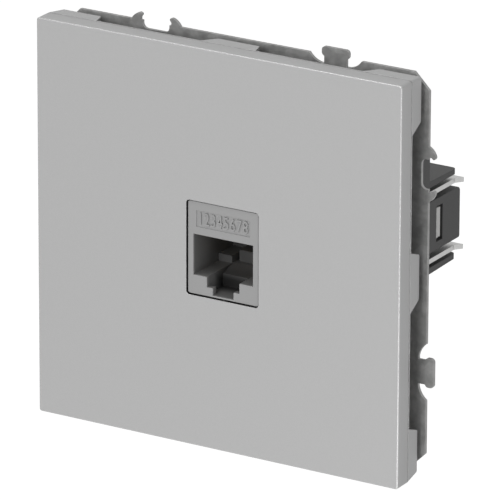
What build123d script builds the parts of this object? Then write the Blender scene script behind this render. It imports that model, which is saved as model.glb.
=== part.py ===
from build123d import *
from math import cos, radians, sin
import os

os.makedirs("parts", exist_ok=True)

# A flush wall socket for one eight-way data plug. Millimetres. X is to the right, Y goes into the
# wall and Z is up. The wall surface is at Y = 0 and the middle of the steel frame is at X = Z = 0.

# Cover: a square front plate with a skirt in two bands
cover_size = 71.0
cover_proud = 9.8
cover_thick = 2.0
cover_corner = 0.5
cover_edge = 0.2
rim_depth = 3.5
groove_line = 0.25
groove_line_depth = 0.15
band_depth = 3.8
band_lip = 0.25
band_taper = 0.46
band_wall = 1.3
band_corner_span = 9.6
band_tab_half = 5.3
band_chamfer = 1.3
band_round = 0.6
rib_height = 1.4
rib_thick = 0.9
rib_spacing = 44.0

# Cover legs, which snap through slots in the frame
leg_x = 14.0
leg_z = 24.0
leg_width = 6.0
leg_thick = 1.5
leg_reach = 4.2
leg_bump = 0.35
leg_slot_gap = 0.65

# Steel frame: one stamped sheet that lies on the wall
frame_width = 71.0
frame_height = 70.0
frame_sheet = 0.6
frame_corner = 2.9
gang_offset = 17.5
hook_span = 9.7
hook_reach = 1.35
hook_gap = 5.3
hook_lean = 0.55
hook_nose = 0.97
hook_waist = 0.4
hook_back = 0.71
hook_back_height = 0.88
pocket_depth = 1.35
pocket_round = 0.95
lug_head = 5.25
lug_neck = 4.3
lug_reach = 1.45
lug_round = 0.65
lug_overlap = 0.22
lug_mouth = 10.1
lug_notch = 1.5
lug_scoop = 0.9
lug_floor = 0.52
box_pitch = 60.0
box_slot_width = 4.2
box_slot_length = 6.6
screw_hole_gap = 0.3

# Jack: the plastic module with the plug opening
jack_x = 1.2
jack_width = 13.75
jack_height = 16.45
jack_recess = 0.3
jack_length = 15.6
jack_corner = 0.4
jack_gap = 0.22
plug_width = 11.7
plug_height = 7.3
plug_top = 2.45
plug_depth = 12.8
latch_width = 6.4
latch_drop = 1.8
key_width = 4.1
key_drop = 1.3
key_lip = 1.1
catch_depth = 5.2
ramp_end = 8.6
step_start = 8.2
step_height = 1.3
step_slit = 0.5
centre_start = 9.8
centre_height = 2.0
label_width = 10.5
label_height = 2.9
label_z = 5.25
label_depth = 0.15

# Snap latch on top of the jack and the ridge under it, with their places in the holder
latch_arm = 5.6
latch_rise = 1.6
latch_thick = 0.9
latch_end = 3.0
latch_foot = 0.4
latch_slope = 1.2
latch_gap = 0.25
latch_bite = 0.2
latch_room = 2.2
groove_depth = 0.8
groove_width = 1.6
groove_start = -3.0

# Contacts, circuit board and wire terminals behind the jack
contact_count = 8
contact_pitch = 1.02
contact_wire = 0.4
contact_slope = 20.0
contact_reach = 9.4
contact_start = 3.2
contact_level = 3.3
contact_drop = 0.9
comb_width = 0.56
comb_bite = 0.1
carrier_width = 10.4
carrier_low = -1.9
carrier_start = 11.4
carrier_comb = 1.0
board_width = 12.8
board_height = 15.0
board_thick = 1.6
board_gap = 0.1
terminal_base = 2.5
terminal_length = 9.5
terminal_level = 4.7
terminal_pitch = 2.9
terminal_slot = 0.7
terminal_depth = 6.0
terminal_count = 4
blade_width = 2.0
blade_thick = 0.5
blade_tail = 0.5
blade_fork = 0.35
blade_gap = 0.05
cap_cover = 6.8
cap_wall = 1.0
cap_gap = 0.25
cap_hole = 6.4

# Holder: the insert that carries the jack and comes in from the front
holder_width = 20.8
holder_height = 25.0
holder_front = 6.0
holder_rim = 1.6
holder_rim_thick = 1.2
holder_length = 12.0
holder_gap = 0.15

# Housing: the dark moulding behind the frame
housing_wall = 1.85
housing_depth = 17.0
flange_width = 49.0
flange_height = 35.0
flange_thick = 2.2
flange_corner = 5.0
block_reach = 24.5
block_height = 9.2
block_start = 11.5
block_end = 29.9
block_round = 0.9
block_round_low = 0.4
shelf_low = 7.2
shelf_tip = 0.9
shelf_root = 1.6
shelf_end = 28.8
shelf_round = 1.0
cheek_wall = 1.6
cheek_top = 13.8
cheek_end = 19.4
block_inner = 14.4
block_step = 18.5
mouth_middle = 22.9
mouth_width = 2.1
mouth_height = 6.4
mouth_depth = 0.7
finger_gap = 0.15
finger_length = 2.9
boss_radius = 2.6

# Claws: zinc plated U brackets, each on its pin, drawn up by a screw and a square nut
claw_sheet = 0.85
claw_level = 6.05
claw_web = 7.0
claw_web_inner = 15.8
claw_web_outer = 23.6
claw_shoulder = 10.0
claw_kink = 28.1
claw_tip = 29.4
claw_tooth = 1.0
claw_swing = 24.0
claw_end_inner = 20.5
claw_waist = 17.0
pin_x = 14.2
pin_radius = 1.0
pin_gap = 0.06
pin_eye = 1.55
screw_x = 19.0
screw_radius = 1.75
screw_length = 26.0
head_radius = 3.2
head_height = 2.2
head_slot = 0.8
nut_size = 5.5
nut_thick = 2.4
nut_gap = 0.2
thread_gap = 0.05
seat_gap = 0.05
slot_play = 0.1
plate_thick = 1.7
plate_height = 5.8
plate_inner = 15.2
plate_recess = 0.1
plate_round = 0.6
plate_gap = 0.05
fix_x = 15.5
fix_z = 13.2
fix_radius = 1.4
fix_length = 8.0
fix_head_radius = 2.4
fix_head_height = 1.6

# Levels along Y that follow from the sizes above
cover_front = -cover_proud
rim_back = cover_front + rim_depth
band_back = rim_back + band_depth
cover_inside = cover_front + cover_thick
frame_front = -frame_sheet
jack_front = cover_front + jack_recess
jack_back = jack_front + jack_length
board_front = jack_back + board_gap
board_back = board_front + board_thick
terminal_back = board_back + terminal_length
cap_front = terminal_back - cap_cover
cap_back = terminal_back + cap_gap + cap_wall
pin_y = claw_web + claw_sheet / 2


def facing(y):
    """A plane parallel to the wall at depth y, drawn as seen from the front."""
    return Plane.XZ.offset(-y)


def level(z):
    """A horizontal plane at height z, drawn as seen from above."""
    return Plane.XY.offset(z)


INTO = (0, 1, 0)


# Cover plate: one moulding, open at the back
def band_gaps():
    """The gap on each side of a rear band's middle tab: it widens to the back, past rounded corners."""
    depth = band_depth - band_lip
    near = band_tab_half
    far = cover_size / 2 - band_corner_span
    flare = band_chamfer + 2 * band_round
    with BuildSketch(Plane.XY) as gaps:
        with BuildLine():
            Polyline(
                (near, 0),
                (far, 0),
                (far + band_chamfer, depth),
                (far + flare, depth),
                (far + flare, depth + 1),
                (near - flare, depth + 1),
                (near - flare, depth),
                (near - band_chamfer, depth),
                close=True,
            )
        make_face()
        past = band_chamfer + band_round
        back_corners = gaps.vertices().filter_by_position(Axis.Y, depth / 2, depth + band_round)
        fillet(back_corners.filter_by_position(Axis.X, near - past, far + past), band_round)
        mirror(about=Plane.YZ)
    return gaps.sketch


inner_size = cover_size - 2 * band_taper - 2 * band_wall

with BuildPart() as cover_plate:
    with BuildSketch(facing(cover_front)):
        RectangleRounded(cover_size, cover_size, cover_corner)
    extrude(amount=rim_depth - groove_line, dir=INTO)
    front_edges = cover_plate.faces().sort_by(Axis.Y)[0].edges()
    fillet(front_edges, cover_edge)
    with BuildSketch(facing(rim_back - groove_line)):
        RectangleRounded(cover_size - 2 * groove_line_depth, cover_size - 2 * groove_line_depth, cover_corner)
    extrude(amount=groove_line, dir=INTO)
    with BuildSketch(facing(rim_back)):
        RectangleRounded(cover_size, cover_size, cover_corner)
    with BuildSketch(facing(band_back)):
        RectangleRounded(cover_size - 2 * band_taper, cover_size - 2 * band_taper, cover_corner)
    loft()
    with BuildSketch(facing(cover_inside)):
        Rectangle(inner_size, inner_size)
    extrude(amount=cover_proud, dir=INTO, mode=Mode.SUBTRACT)
    # Gaps in the rear band, behind the lip that runs all the way round
    reach = cover_size / 2 + 1
    gap_front = rim_back + band_lip
    sides = (
        Plane((reach, gap_front, 0), x_dir=(0, 0, 1), z_dir=(-1, 0, 0)),
        Plane((0, gap_front, reach), x_dir=(1, 0, 0), z_dir=(0, 0, 1)),
        Plane((-reach, gap_front, 0), x_dir=(0, 0, -1), z_dir=(1, 0, 0)),
        Plane((0, gap_front, -reach), x_dir=(-1, 0, 0), z_dir=(0, 0, -1)),
    )
    for side in sides:
        with BuildSketch(side):
            add(band_gaps())
        inward = Vector(-side.origin.X, 0, -side.origin.Z).normalized()
        extrude(amount=band_taper + band_wall + 2, dir=inward, mode=Mode.SUBTRACT)
    # Ribs behind the front wall, and a collar round the jack window
    with BuildSketch(facing(cover_inside)):
        with Locations((0, rib_spacing / 2), (0, -rib_spacing / 2)):
            Rectangle(inner_size, rib_thick)
        with Locations((rib_spacing / 2, 0), (-rib_spacing / 2, 0)):
            Rectangle(rib_thick, inner_size)
        with Locations((jack_x, 0)):
            Rectangle(jack_width + 2 * jack_gap + 2 * rib_thick, jack_height + 2 * jack_gap + 2 * rib_thick)
    extrude(amount=rib_height, dir=INTO)
    with BuildSketch(facing(cover_front)):
        with Locations((jack_x, 0)):
            RectangleRounded(jack_width + 2 * jack_gap, jack_height + 2 * jack_gap, jack_corner + jack_gap)
    extrude(amount=cover_proud, dir=INTO, mode=Mode.SUBTRACT)
    # Snap legs
    with BuildSketch(facing(cover_inside)):
        with GridLocations(2 * leg_x, 2 * leg_z, 2, 2):
            Rectangle(leg_width, leg_thick)
    extrude(amount=leg_reach - cover_inside, dir=INTO)
    with BuildSketch(facing(leg_reach - leg_thick)):
        with GridLocations(2 * leg_x, 2 * leg_z, 2, 2):
            Rectangle(leg_width, leg_thick + 2 * leg_bump)
    extrude(amount=leg_thick, dir=INTO)
    leg_ends = cover_plate.faces().sort_by(Axis.Y)[-4:].edges().filter_by(Axis.X)
    chamfer(leg_ends, leg_bump)
cover_plate.part.label = "cover_plate"
export_step(cover_plate.part, "parts/cover_plate.step")


# Steel frame: one stamped sheet, with a pair of gang hooks and a gang lug on every side
def gang_cuts():
    """What is cut from a side: the pocket between the hooks and the two notches by the lug."""
    with BuildSketch(Plane.XY) as cuts:
        with Locations((-gang_offset, 0)):
            Rectangle(hook_gap, 2 * pocket_depth)
        fillet(cuts.vertices(), pocket_round)
        with BuildLine():
            start = (lug_mouth / 2, 0)
            bend = (lug_mouth / 2 - lug_scoop, -lug_scoop)
            floor = (lug_neck / 2 + lug_floor, -lug_notch)
            Polyline(start, (lug_mouth / 2, lug_notch), (0, lug_notch), (0, -lug_notch), floor)
            ThreePointArc(floor, bend, start)
        notch = make_face(mode=Mode.PRIVATE)
        with Locations((gang_offset, 0)):
            add([notch, notch.mirror(Plane.YZ)])
    return cuts.sketch


def gang_metal():
    """What stands out of a side: two hooks that lean together, and the lug's neck and head."""
    with BuildSketch(Plane.XY) as metal:
        with BuildLine():
            inner = hook_gap / 2
            outer = hook_span / 2
            root = (inner, pocket_round - pocket_depth)
            nose = (inner - hook_lean, hook_nose)
            crest = (inner + hook_lean, hook_reach)
            Polyline((outer, 0), (outer, -pocket_depth), (inner, -pocket_depth), root)
            ThreePointArc(root, (inner + hook_waist, hook_reach / 5), nose)
            Line(nose, crest)
            ThreePointArc(crest, (outer - hook_back, hook_back_height), (outer, 0))
        make_face()
        fillet(metal.vertices().sort_by(Axis.Y)[-2:], hook_reach / 5)
        mirror(about=Plane.YZ)
    with BuildSketch(Plane.XY) as whole:
        with Locations((-gang_offset, 0)):
            add(metal.sketch)
        with Locations((gang_offset, (lug_reach - lug_overlap) / 2)):
            RectangleRounded(lug_head, lug_reach + lug_overlap, lug_round)
        with Locations((gang_offset, -lug_notch / 2)):
            Rectangle(lug_neck, lug_notch)
    return whole.sketch


with BuildPart() as steel_frame:
    with BuildSketch(facing(frame_front)) as sheet:
        Rectangle(frame_width, frame_height)
        chamfer(sheet.vertices(), frame_corner)
        for quarter in range(4):
            edge = (frame_height if quarter % 2 == 0 else frame_width) / 2
            way = radians(90 * quarter)
            with Locations(Location((edge * sin(way), edge * cos(way), 0), (0, 0, -90 * quarter))):
                add(gang_cuts(), mode=Mode.SUBTRACT)
                add(gang_metal())
        Rectangle(holder_width + 2 * holder_gap, holder_height + 2 * holder_gap, mode=Mode.SUBTRACT)
        with Locations((box_pitch / 2, 0), (-box_pitch / 2, 0)):
            SlotOverall(box_slot_length, box_slot_width, mode=Mode.SUBTRACT)
        with Locations((0, box_pitch / 2), (0, -box_pitch / 2)):
            SlotOverall(box_slot_length, box_slot_width, rotation=90, mode=Mode.SUBTRACT)
        with Locations((screw_x, 0), (-screw_x, 0)):
            Circle(screw_radius + screw_hole_gap, mode=Mode.SUBTRACT)
        with GridLocations(2 * fix_x, 2 * fix_z, 2, 2):
            Circle(fix_radius, mode=Mode.SUBTRACT)
        with GridLocations(2 * leg_x, 2 * leg_z, 2, 2):
            Rectangle(leg_width + 2 * leg_slot_gap, leg_thick + 2 * leg_slot_gap, mode=Mode.SUBTRACT)
    extrude(amount=frame_sheet, dir=INTO)
steel_frame.part.label = "steel_frame"
export_step(steel_frame.part, "parts/steel_frame.step")


# Housing: flange behind the frame, walls round the holder, a side block and two shelves each side
opening_width = holder_width + 2 * holder_gap
opening_height = holder_height + 2 * holder_gap
wall_x = opening_width / 2 + housing_wall

with BuildPart() as mechanism_housing:
    with BuildSketch(facing(0)):
        RectangleRounded(flange_width, flange_height, flange_corner)
    extrude(amount=flange_thick, dir=INTO)
    with BuildSketch(facing(flange_thick)):
        RectangleRounded(2 * wall_x, opening_height + 2 * housing_wall, housing_wall)
        with GridLocations(2 * fix_x, 2 * fix_z, 2, 2):
            Circle(boss_radius)
            Rectangle(2 * (fix_x - wall_x), boss_radius)
    extrude(amount=fix_length + frame_front, dir=INTO)
    with BuildSketch(facing(flange_thick)):
        RectangleRounded(2 * wall_x, opening_height + 2 * housing_wall, housing_wall)
    extrude(amount=housing_depth - flange_thick, dir=INTO)
    with BuildSketch(level(-block_height / 2)) as block_plan:
        with BuildLine():
            Polyline(
                (wall_x - housing_wall / 2, block_start),
                (block_reach, block_start),
                (block_reach, block_end),
                (block_inner, block_end),
                (block_inner, block_step),
                (wall_x - housing_wall / 2, housing_depth - housing_wall),
                close=True,
            )
        make_face()
        mirror(about=Plane.YZ)
    extrude(amount=block_height)
    block_tips = mechanism_housing.faces().sort_by(Axis.Y)[-2:].edges().filter_by(Axis.X)
    fillet(block_tips.group_by(Axis.Z)[-1], block_round)
    block_tips = mechanism_housing.faces().sort_by(Axis.Y)[-2:].edges().filter_by(Axis.X)
    fillet(block_tips.group_by(Axis.Z)[0], block_round_low)
    # Fingers that keep the square nut from turning
    finger_thick = (block_height - nut_size) / 2 - finger_gap
    with BuildSketch(facing(block_start - finger_length)):
        with GridLocations(2 * screw_x, block_height - finger_thick, 2, 2):
            Rectangle(nut_size, finger_thick)
    extrude(amount=finger_length, dir=INTO)
    # Shelves above and below each claw, thicker at the root
    with BuildSketch(Plane.YZ.offset(wall_x - housing_wall / 2)) as shelf_side:
        with BuildLine():
            Polyline(
                (flange_thick, shelf_low),
                (shelf_end, shelf_low),
                (shelf_end, shelf_low + shelf_tip),
                (flange_thick, shelf_low + shelf_root),
                close=True,
            )
        make_face()
        mirror(about=Plane.XZ)
    extrude(amount=block_reach - wall_x + housing_wall / 2)
    shelf_corners = mechanism_housing.edges().filter_by(Axis.Z).filter_by_position(
        Axis.Y, shelf_end - shelf_tip, shelf_end + shelf_tip)
    fillet(shelf_corners.group_by(Axis.X)[-1].filter_by_position(Axis.Y, shelf_end, shelf_end), shelf_round)
    mirror(about=Plane.YZ)
    # Cheeks: an upright wall on each shelf, at the side of the housing
    with BuildSketch(facing(flange_thick)):
        with GridLocations(2 * block_reach - cheek_wall, cheek_top + shelf_low + shelf_tip, 2, 2):
            Rectangle(cheek_wall, cheek_top - shelf_low - shelf_tip)
    extrude(amount=cheek_end - flange_thick, dir=INTO)
    with BuildSketch(level(-shelf_low - shelf_root)):
        with Locations((0, housing_depth + (shelf_end - housing_depth + 1) / 2)):
            Rectangle(2 * block_inner, shelf_end - housing_depth + 1)
    extrude(amount=2 * (shelf_low + shelf_root), mode=Mode.SUBTRACT)
    # Opening for the holder, screw holes, pin holes, and the slots of the guide plates
    with BuildSketch(facing(0)):
        Rectangle(opening_width, opening_height)
    extrude(amount=housing_depth, dir=INTO, mode=Mode.SUBTRACT)
    with BuildSketch(facing(0)):
        with Locations((screw_x, 0), (-screw_x, 0)):
            Circle(screw_radius + screw_hole_gap)
    extrude(amount=screw_length + frame_front + screw_hole_gap, dir=INTO, mode=Mode.SUBTRACT)
    with BuildSketch(facing(0)):
        with GridLocations(2 * fix_x, 2 * fix_z, 2, 2):
            Circle(fix_radius)
    extrude(amount=fix_length + frame_front, dir=INTO, mode=Mode.SUBTRACT)
    with BuildSketch(level(-shelf_low - shelf_root)):
        with Locations((pin_x, pin_y), (-pin_x, pin_y)):
            Circle(pin_radius)
    extrude(amount=2 * (shelf_low + shelf_root), mode=Mode.SUBTRACT)
    for turned in (1, -1):
        with BuildSketch(Plane.YZ.offset(turned * block_reach)):
            with Locations((mouth_middle, 0)):
                Rectangle(mouth_width, mouth_height)
        extrude(amount=mouth_depth, dir=(-turned, 0, 0), mode=Mode.SUBTRACT)
        with BuildSketch(Plane.YZ.offset(turned * block_reach)):
            with Locations((mouth_middle, 0)):
                Rectangle(plate_thick + 2 * plate_gap, plate_height + 2 * plate_gap)
        extrude(amount=block_reach - plate_inner + plate_gap, dir=(-turned, 0, 0), mode=Mode.SUBTRACT)
mechanism_housing.part.label = "mechanism_housing"
export_step(mechanism_housing.part, "parts/mechanism_housing.step")


# Holder: front collar, rim on the frame, and the sleeve inside the housing
tunnel_width = jack_width + 2 * jack_gap
tunnel_height = jack_height + 2 * jack_gap

with BuildPart() as jack_holder:
    with BuildSketch(facing(-holder_front)):
        with Locations((jack_x, 0)):
            RectangleRounded(tunnel_width + 2 * holder_rim, tunnel_height + 2 * holder_rim, holder_rim)
    extrude(amount=holder_front + frame_front, dir=INTO)
    with BuildSketch(facing(frame_front - holder_rim_thick)):
        RectangleRounded(holder_width + 2 * holder_rim, holder_height + 2 * holder_rim, holder_rim)
    extrude(amount=holder_rim_thick, dir=INTO)
    with BuildSketch(facing(frame_front)):
        Rectangle(holder_width, holder_height)
    extrude(amount=holder_length - frame_front, dir=INTO)
    with BuildSketch(facing(-holder_front)):
        with Locations((jack_x, 0)):
            Rectangle(tunnel_width, tunnel_height)
    extrude(amount=holder_front + holder_length, dir=INTO, mode=Mode.SUBTRACT)
    with BuildSketch(facing(groove_start - groove_width)):
        with Locations((jack_x, tunnel_height / 2)):
            Rectangle(latch_arm + 4 * jack_gap, 2 * latch_room)
    extrude(amount=holder_length - groove_start + groove_width, dir=INTO, mode=Mode.SUBTRACT)
    with BuildSketch(facing(groove_start)):
        with Locations((jack_x, -tunnel_height / 2)):
            Rectangle(tunnel_width, 2 * groove_depth)
    extrude(amount=groove_width, dir=INTO, mode=Mode.SUBTRACT)
jack_holder.part.label = "jack_holder"
export_step(jack_holder.part, "parts/jack_holder.step")


# Jack body: face with its label field, the stepped plug opening, snap latch and lower ridge
comb_low = plug_top - comb_bite
comb_high = contact_level + contact_wire

with BuildPart() as jack_body:
    with BuildSketch(facing(jack_front)):
        with Locations((jack_x, 0)):
            RectangleRounded(jack_width, jack_height, jack_corner)
    extrude(amount=jack_length, dir=INTO)
    with BuildSketch(facing(jack_front)):
        with Locations((jack_x, label_z)):
            Rectangle(label_width, label_height)
    extrude(amount=label_depth, dir=INTO, mode=Mode.SUBTRACT)
    main_low = plug_top - plug_height
    latch_low = main_low - latch_drop
    with BuildSketch(facing(jack_front)):
        with Locations((jack_x, plug_top - plug_height / 2)):
            Rectangle(plug_width, plug_height)
    extrude(amount=plug_depth, dir=INTO, mode=Mode.SUBTRACT)
    # The latch's channel: a narrow key at the lip, a wider catch behind it, and a ramp up to the floor
    with BuildSketch(facing(jack_front)):
        with Locations((jack_x, latch_low - key_drop / 2)):
            Rectangle(key_width, key_drop)
    extrude(amount=key_lip, dir=INTO, mode=Mode.SUBTRACT)
    with BuildSketch(Plane.YZ.offset(jack_x - latch_width / 2)):
        with BuildLine():
            Polyline(
                (jack_front, main_low),
                (jack_front, latch_low),
                (jack_front + key_lip, latch_low),
                (jack_front + key_lip, latch_low - key_drop),
                (jack_front + catch_depth, latch_low - key_drop),
                (jack_front + catch_depth, latch_low + latch_drop / 2),
                (jack_front + ramp_end, main_low),
                close=True,
            )
        make_face()
    extrude(amount=latch_width, mode=Mode.SUBTRACT)
    # Floor steps at the back of the opening: one at each side and a taller one between two slits
    side_width = (plug_width - latch_width) / 2
    centre_width = latch_width - 2 * step_slit
    with BuildSketch(facing(jack_front + step_start)):
        with Locations((jack_x, main_low + step_height / 2)):
            with GridLocations(plug_width - side_width, 1, 2, 1):
                Rectangle(side_width, step_height)
    extrude(amount=plug_depth - step_start, dir=INTO)
    with BuildSketch(facing(jack_front + centre_start)):
        with Locations((jack_x, main_low + centre_height / 2)):
            Rectangle(centre_width, centre_height)
    extrude(amount=plug_depth - centre_start, dir=INTO)
    # Rear pocket for the contact carrier, and a groove for each contact
    with BuildSketch(facing(jack_front + carrier_start)):
        with Locations((jack_x, (plug_top + carrier_low) / 2)):
            Rectangle(carrier_width, plug_top - carrier_low)
    extrude(amount=jack_length - carrier_start, dir=INTO, mode=Mode.SUBTRACT)
    with BuildSketch(facing(jack_front + contact_start - contact_wire)):
        with Locations((jack_x, (comb_low + comb_high) / 2)):
            with GridLocations(contact_pitch, 1, contact_count, 1):
                Rectangle(comb_width, comb_high - comb_low)
    extrude(amount=jack_length - contact_start + contact_wire, dir=INTO, mode=Mode.SUBTRACT)
    with BuildSketch(Plane.YZ.offset(jack_x - latch_arm / 2)):
        roof = jack_height / 2
        foot = groove_start - groove_width + latch_foot
        with BuildLine():
            Polyline(
                (foot, roof - latch_bite),
                (foot + latch_slope, roof + latch_thick),
                (latch_end, roof + latch_rise),
                (latch_end, roof + latch_rise - latch_thick),
                (groove_start + latch_thick, roof + latch_gap),
                (groove_start + latch_thick, roof - latch_bite),
                close=True,
            )
        make_face()
    extrude(amount=latch_arm)
    with BuildSketch(facing(groove_start + jack_gap)):
        with Locations((jack_x, -jack_height / 2)):
            Rectangle(jack_width, 2 * (groove_depth - jack_gap))
    extrude(amount=groove_width - 2 * jack_gap, dir=INTO)
jack_body.part.label = "jack_body"
export_step(jack_body.part, "parts/jack_body.step")


# Contact carrier: the block at the back of the opening, with a comb for the contact tips
with BuildPart() as contact_carrier:
    with BuildSketch(facing(jack_front + carrier_start)):
        with Locations((jack_x, (plug_top + carrier_low) / 2)):
            Rectangle(carrier_width, plug_top - carrier_low)
    extrude(amount=jack_length - carrier_start, dir=INTO)
    with BuildSketch(facing(jack_front + carrier_start)):
        with Locations((jack_x, (plug_top + carrier_low) / 2)):
            with GridLocations(contact_pitch, 1, contact_count, 1):
                Rectangle(comb_width, plug_top - carrier_low)
    extrude(amount=carrier_comb, dir=INTO, mode=Mode.SUBTRACT)
    with BuildSketch(facing(jack_front + carrier_start)):
        with Locations((jack_x, plug_top)):
            Rectangle(carrier_width, 2 * (plug_top - comb_low))
    extrude(amount=jack_length - carrier_start, dir=INTO, mode=Mode.SUBTRACT)
contact_carrier.part.label = "contact_carrier"
export_step(contact_carrier.part, "parts/contact_carrier.step")


# Contacts: eight gold plated wires, each bent back on itself and sloping into the opening
def contact_places():
    """The middle of each contact along X."""
    first = jack_x - contact_pitch * (contact_count - 1) / 2
    return [first + contact_pitch * number for number in range(contact_count)]


bend_y = jack_front + contact_start
slope = radians(contact_slope)
tip_y = bend_y + contact_reach * cos(slope)
tip_z = contact_level - contact_drop - contact_reach * sin(slope)

with BuildPart() as jack_contacts:
    for place in contact_places():
        with BuildSketch(Plane.YZ.offset(place - contact_wire / 2)):
            with BuildLine() as run:
                FilletPolyline(
                    (board_back, contact_level),
                    (bend_y, contact_level),
                    (bend_y, contact_level - contact_drop),
                    (tip_y, tip_z),
                    radius=contact_drop / 3,
                )
            trace(line_width=contact_wire)
        extrude(amount=contact_wire)
jack_contacts.part.label = "jack_contacts"
export_step(jack_contacts.part, "parts/jack_contacts.step")


# Circuit board behind the jack body, with a hole for each contact tail and each blade tail
def terminal_places():
    """The middle of each wire terminal on the board, as X and Z."""
    first = jack_x - terminal_pitch * (terminal_count - 1) / 2
    across = [first + terminal_pitch * number for number in range(terminal_count)]
    return [(x, z) for z in (terminal_level, -terminal_level) for x in across]


with BuildPart() as jack_board:
    with BuildSketch(facing(board_front)):
        with Locations((jack_x, 0)):
            Rectangle(board_width, board_height)
        with Locations(*[(x, contact_level) for x in contact_places()]):
            Rectangle(contact_wire, contact_wire, mode=Mode.SUBTRACT)
        with Locations(*terminal_places()):
            Rectangle(blade_tail, blade_thick, mode=Mode.SUBTRACT)
    extrude(amount=board_thick, dir=INTO)
jack_board.part.label = "jack_board"
export_step(jack_board.part, "parts/jack_board.step")


# Wire terminal block: a base on the board and two rows of slotted towers
tower_width = jack_width - 2 * cap_wall - 2 * cap_gap
tower_height = (jack_height - 2 * cap_wall - 2 * cap_gap) / 2 - terminal_level

with BuildPart() as terminal_block:
    with BuildSketch(facing(board_back)):
        with Locations((jack_x, 0)):
            RectangleRounded(jack_width, jack_height, jack_corner)
    extrude(amount=terminal_base, dir=INTO)
    with BuildSketch(facing(board_back)):
        with Locations((jack_x, terminal_level), (jack_x, -terminal_level)):
            Rectangle(tower_width, 2 * tower_height)
    extrude(amount=terminal_length, dir=INTO)
    # Each tower is split for its wire, and hollow for its blade
    with BuildSketch(facing(terminal_back - terminal_depth)):
        with Locations(*terminal_places()):
            Rectangle(terminal_slot, 2 * tower_height)
    extrude(amount=terminal_depth, dir=INTO, mode=Mode.SUBTRACT)
    with BuildSketch(facing(board_back)):
        with Locations(*terminal_places()):
            Rectangle(blade_width + 2 * blade_gap, blade_thick + 2 * blade_gap)
    extrude(amount=terminal_length - cap_wall, dir=INTO, mode=Mode.SUBTRACT)
terminal_block.part.label = "terminal_block"
export_step(terminal_block.part, "parts/terminal_block.step")


# Blades: eight forked plates that cut into the wires, with tails through the board
blade_root = board_back + blade_gap
blade_end = terminal_back - cap_wall - blade_width / 2

with BuildPart() as terminal_blades:
    for x, z in terminal_places():
        with BuildSketch(level(z - blade_thick / 2)):
            with Locations((x, (blade_root + blade_end) / 2)):
                Rectangle(blade_width, blade_end - blade_root)
            with Locations((x, (board_front + blade_root) / 2)):
                Rectangle(blade_tail, blade_root - board_front)
            with Locations((x, blade_end)):
                Rectangle(blade_fork, terminal_depth, mode=Mode.SUBTRACT)
            with BuildLine():
                Polyline(
                    (x - blade_width / 3, blade_end),
                    (x + blade_width / 3, blade_end),
                    (x, blade_end - blade_width * 0.6),
                    close=True,
                )
            make_face(mode=Mode.SUBTRACT)
        extrude(amount=blade_thick)
terminal_blades.part.label = "terminal_blades"
export_step(terminal_blades.part, "parts/terminal_blades.step")


# Terminal cap: a lid pushed over the towers, with a hole for the cable
with BuildPart() as terminal_cap:
    with BuildSketch(facing(cap_front)):
        with Locations((jack_x, 0)):
            RectangleRounded(jack_width, jack_height, jack_corner)
    extrude(amount=cap_back - cap_front, dir=INTO)
    fillet(terminal_cap.faces().sort_by(Axis.Y)[-1].edges(), cap_wall / 2)
    with BuildSketch(facing(cap_front)):
        with Locations((jack_x, 0)):
            Rectangle(jack_width - 2 * cap_wall, jack_height - 2 * cap_wall)
    extrude(amount=cap_cover + cap_gap, dir=INTO, mode=Mode.SUBTRACT)
    with BuildSketch(facing(cap_front)):
        with Locations((jack_x, 0)):
            Circle(cap_hole / 2)
    extrude(amount=cap_back - cap_front, dir=INTO, mode=Mode.SUBTRACT)
terminal_cap.part.label = "terminal_cap"
export_step(terminal_cap.part, "parts/terminal_cap.step")


# Claws and their pins, screws, nuts and guide plates: one set on each side, mirrored
def make_claw():
    """The right hand claw: two toothed arms and the web that joins them."""
    with BuildPart() as claw:
        for low in (claw_level - claw_sheet / 2, -claw_level - claw_sheet / 2):
            with BuildSketch(level(low)) as arm:
                with BuildLine():
                    Polyline(
                        (pin_x, pin_y - pin_eye),
                        (claw_web_inner, claw_web),
                        (claw_web_outer, claw_web),
                        (block_reach, claw_shoulder),
                        (block_reach, claw_kink),
                        (block_reach + claw_tooth, claw_tip),
                        (claw_end_inner, claw_tip),
                        (claw_waist, claw_shoulder + pin_eye),
                        (pin_x, pin_y + pin_eye),
                        close=True,
                    )
                make_face()
                with Locations((pin_x, pin_y)):
                    Circle(pin_eye)
                    Circle(pin_radius + pin_gap, mode=Mode.SUBTRACT)
            extrude(amount=claw_sheet)
        with BuildSketch(facing(claw_web)):
            with Locations(((claw_web_inner + claw_web_outer) / 2, 0)):
                Rectangle(claw_web_outer - claw_web_inner, 2 * claw_level + claw_sheet)
        extrude(amount=claw_sheet, dir=INTO)
        # The screw's slot in the web is long enough for the claw's whole swing
        lever = screw_x - pin_x
        full = radians(claw_swing)
        slot_inner = lever - screw_radius - slot_play - claw_sheet / 2 * sin(full)
        slot_outer = (lever + screw_radius + claw_sheet / 2 * sin(full)) / cos(full) + slot_play
        with BuildSketch(facing(claw_web)):
            with Locations((pin_x + (slot_inner + slot_outer) / 2, 0)):
                SlotOverall(slot_outer - slot_inner, 2 * (screw_radius + slot_play))
        extrude(amount=claw_sheet, dir=INTO, mode=Mode.SUBTRACT)
    return claw.part


def make_pin():
    """The right hand pin, held in both shelves."""
    half = shelf_low + shelf_root
    with BuildPart() as pin:
        with BuildSketch(level(-half)):
            with Locations((pin_x, pin_y)):
                Circle(pin_radius)
        extrude(amount=2 * half)
        chamfer(pin.edges().filter_by(GeomType.CIRCLE), pin_radius / 4)
    return pin.part


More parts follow.
